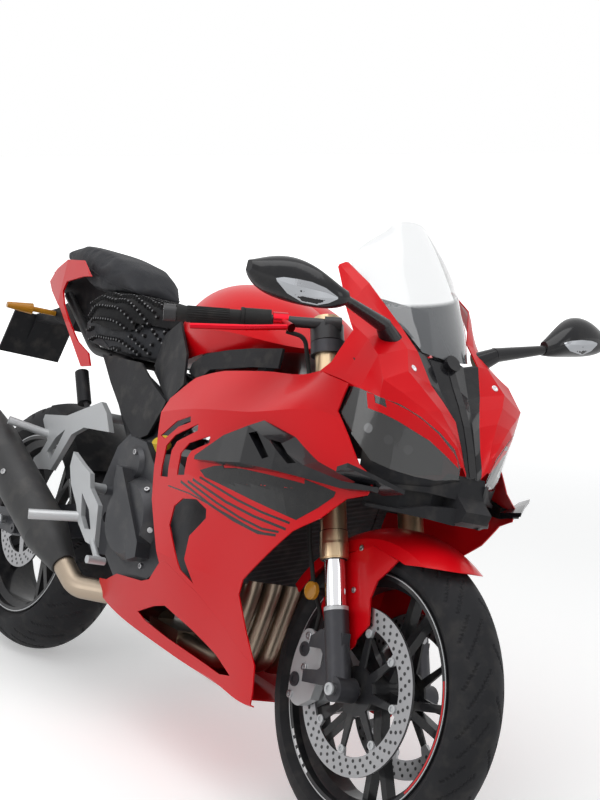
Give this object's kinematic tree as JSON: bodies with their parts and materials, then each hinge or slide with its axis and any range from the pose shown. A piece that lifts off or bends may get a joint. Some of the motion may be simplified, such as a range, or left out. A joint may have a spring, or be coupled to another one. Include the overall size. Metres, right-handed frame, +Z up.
{
  "type": "sport motorcycle",
  "caption": "Sport motorcycle with full fairing, winglets and bubble screen, leaning on its side stand; steering, wheels and stand move.",
  "frame": {"origin": "centre of the parked machine's bounding box, on the ground", "axes": "+X forward, +Y left, +Z up; the machine leans to the left on its side stand"},
  "size_m": [2.0397, 0.8964, 1.1679],
  "materials": {
    "amber": "amber lens",
    "axle_steel": "satin",
    "black_carrier": "black anodised",
    "black_gloss": "gloss",
    "black_plastic": "matte",
    "black_wheel": "satin black",
    "chain_steel": "oiled",
    "chrome_tube": "polished",
    "clear_screen": "clear, dark at its foot",
    "dark_casting": "satin dark grey",
    "disc_steel": "ground",
    "engine_metal": "satin dark grey",
    "exhaust_metal": "heat tinted",
    "frame_metal": "satin dark grey",
    "gold_tube": "champagne anodised",
    "grip_rubber": "ribbed",
    "lamp_red": "red lens",
    "pad_mesh": "mesh with raised nubs",
    "radiator_metal": "black finned",
    "red_lever": "red anodised",
    "red_panel": "gloss paint",
    "seat_cover": "grained vinyl",
    "silencer_metal": "matte black",
    "silver_casting": "satin silver",
    "smoked_lens": "smoked",
    "spring_metal": "gloss",
    "subframe_steel": "satin black",
    "tyre_rubber": "matte",
    "yellow_cap": "gloss"
  },
  "bodies": {
    "front_end": {"fork_feet": "dark_casting", "fork_outer_tubes": "gold_tube", "fork_inner_tubes": "chrome_tube", "front_axle": "axle_steel", "yokes": "dark_casting", "handlebars": "black_carrier", "grips_and_switchgear": "grip_rubber", "levers": "red_lever", "front_calipers": "silver_casting", "front_mudguard": "red_panel", "front_brake_hose": "grip_rubber"},
    "front_wheel": {"front_tyre": "tyre_rubber", "front_rim": "black_wheel", "front_discs": "disc_steel"},
    "rear_wheel": {"rear_tyre": "tyre_rubber", "rear_rim": "black_wheel", "rear_disc": "disc_steel", "rear_sprocket": "disc_steel"},
    "side_stand": {"side_stand": "subframe_steel"},
    "chassis": {"belly_pan": "red_panel", "brackets": "subframe_steel", "chain": "chain_steel", "engine_block": "engine_metal", "engine_covers": "engine_metal", "exhaust_pipes": "exhaust_metal", "fuel_tank": "red_panel", "headlamps": "smoked_lens", "instrument_panel": "black_plastic", "main_frame": "frame_metal", "mirrors": "black_gloss", "nose_fairing": "red_panel", "nose_intake": "black_plastic", "nose_spine": "black_gloss", "oil_filler_cap": "yellow_cap", "passenger_footrests": "silver_casting", "pillion_seat": "seat_cover", "plate_carrier": "black_plastic", "radiator": "radiator_metal", "rear_caliper": "silver_casting", "rear_fluid_cup": "black_plastic", "rear_hugger": "black_plastic", "rear_indicators": "amber", "rear_shock": "spring_metal", "rider_footrests": "silver_casting", "rider_seat": "seat_cover", "seat_pad": "pad_mesh", "side_covers": "black_plastic", "side_fairings": "red_panel", "silencer": "silencer_metal", "subframe": "subframe_steel", "swingarm": "frame_metal", "swingarm_axles": "axle_steel", "tail_fairing": "red_panel", "tail_lamp": "lamp_red", "tail_undertray": "black_plastic", "windscreen": "clear_screen", "winglets": "black_gloss"}
  },
  "joints": [
    {"name": "steering", "type": "hinge", "parent": "chassis", "child": "front_end", "pos_m": [0.45565, -0.05565, 0.77329], "axis": [-0.414, 0.2432, 0.8772], "range_deg": [-25, 25]},
    {"name": "front_wheel_spin", "type": "hinge", "parent": "front_end", "child": "front_wheel", "pos_m": [0.71985, -0.18927, 0.29127], "axis": [-0.0002, 0.9636, -0.2672], "continuous": true},
    {"name": "rear_wheel_spin", "type": "hinge", "parent": "chassis", "child": "rear_wheel", "pos_m": [-0.68014, -0.18526, 0.30682], "axis": [-0.0002, 0.9636, -0.2672], "continuous": true},
    {"name": "side_stand_fold", "type": "hinge", "parent": "chassis", "child": "side_stand", "pos_m": [-0.24017, -0.07589, 0.2668], "axis": [0.0615, 0.9047, 0.4215], "range_deg": [0, 94.6]}
  ]
}
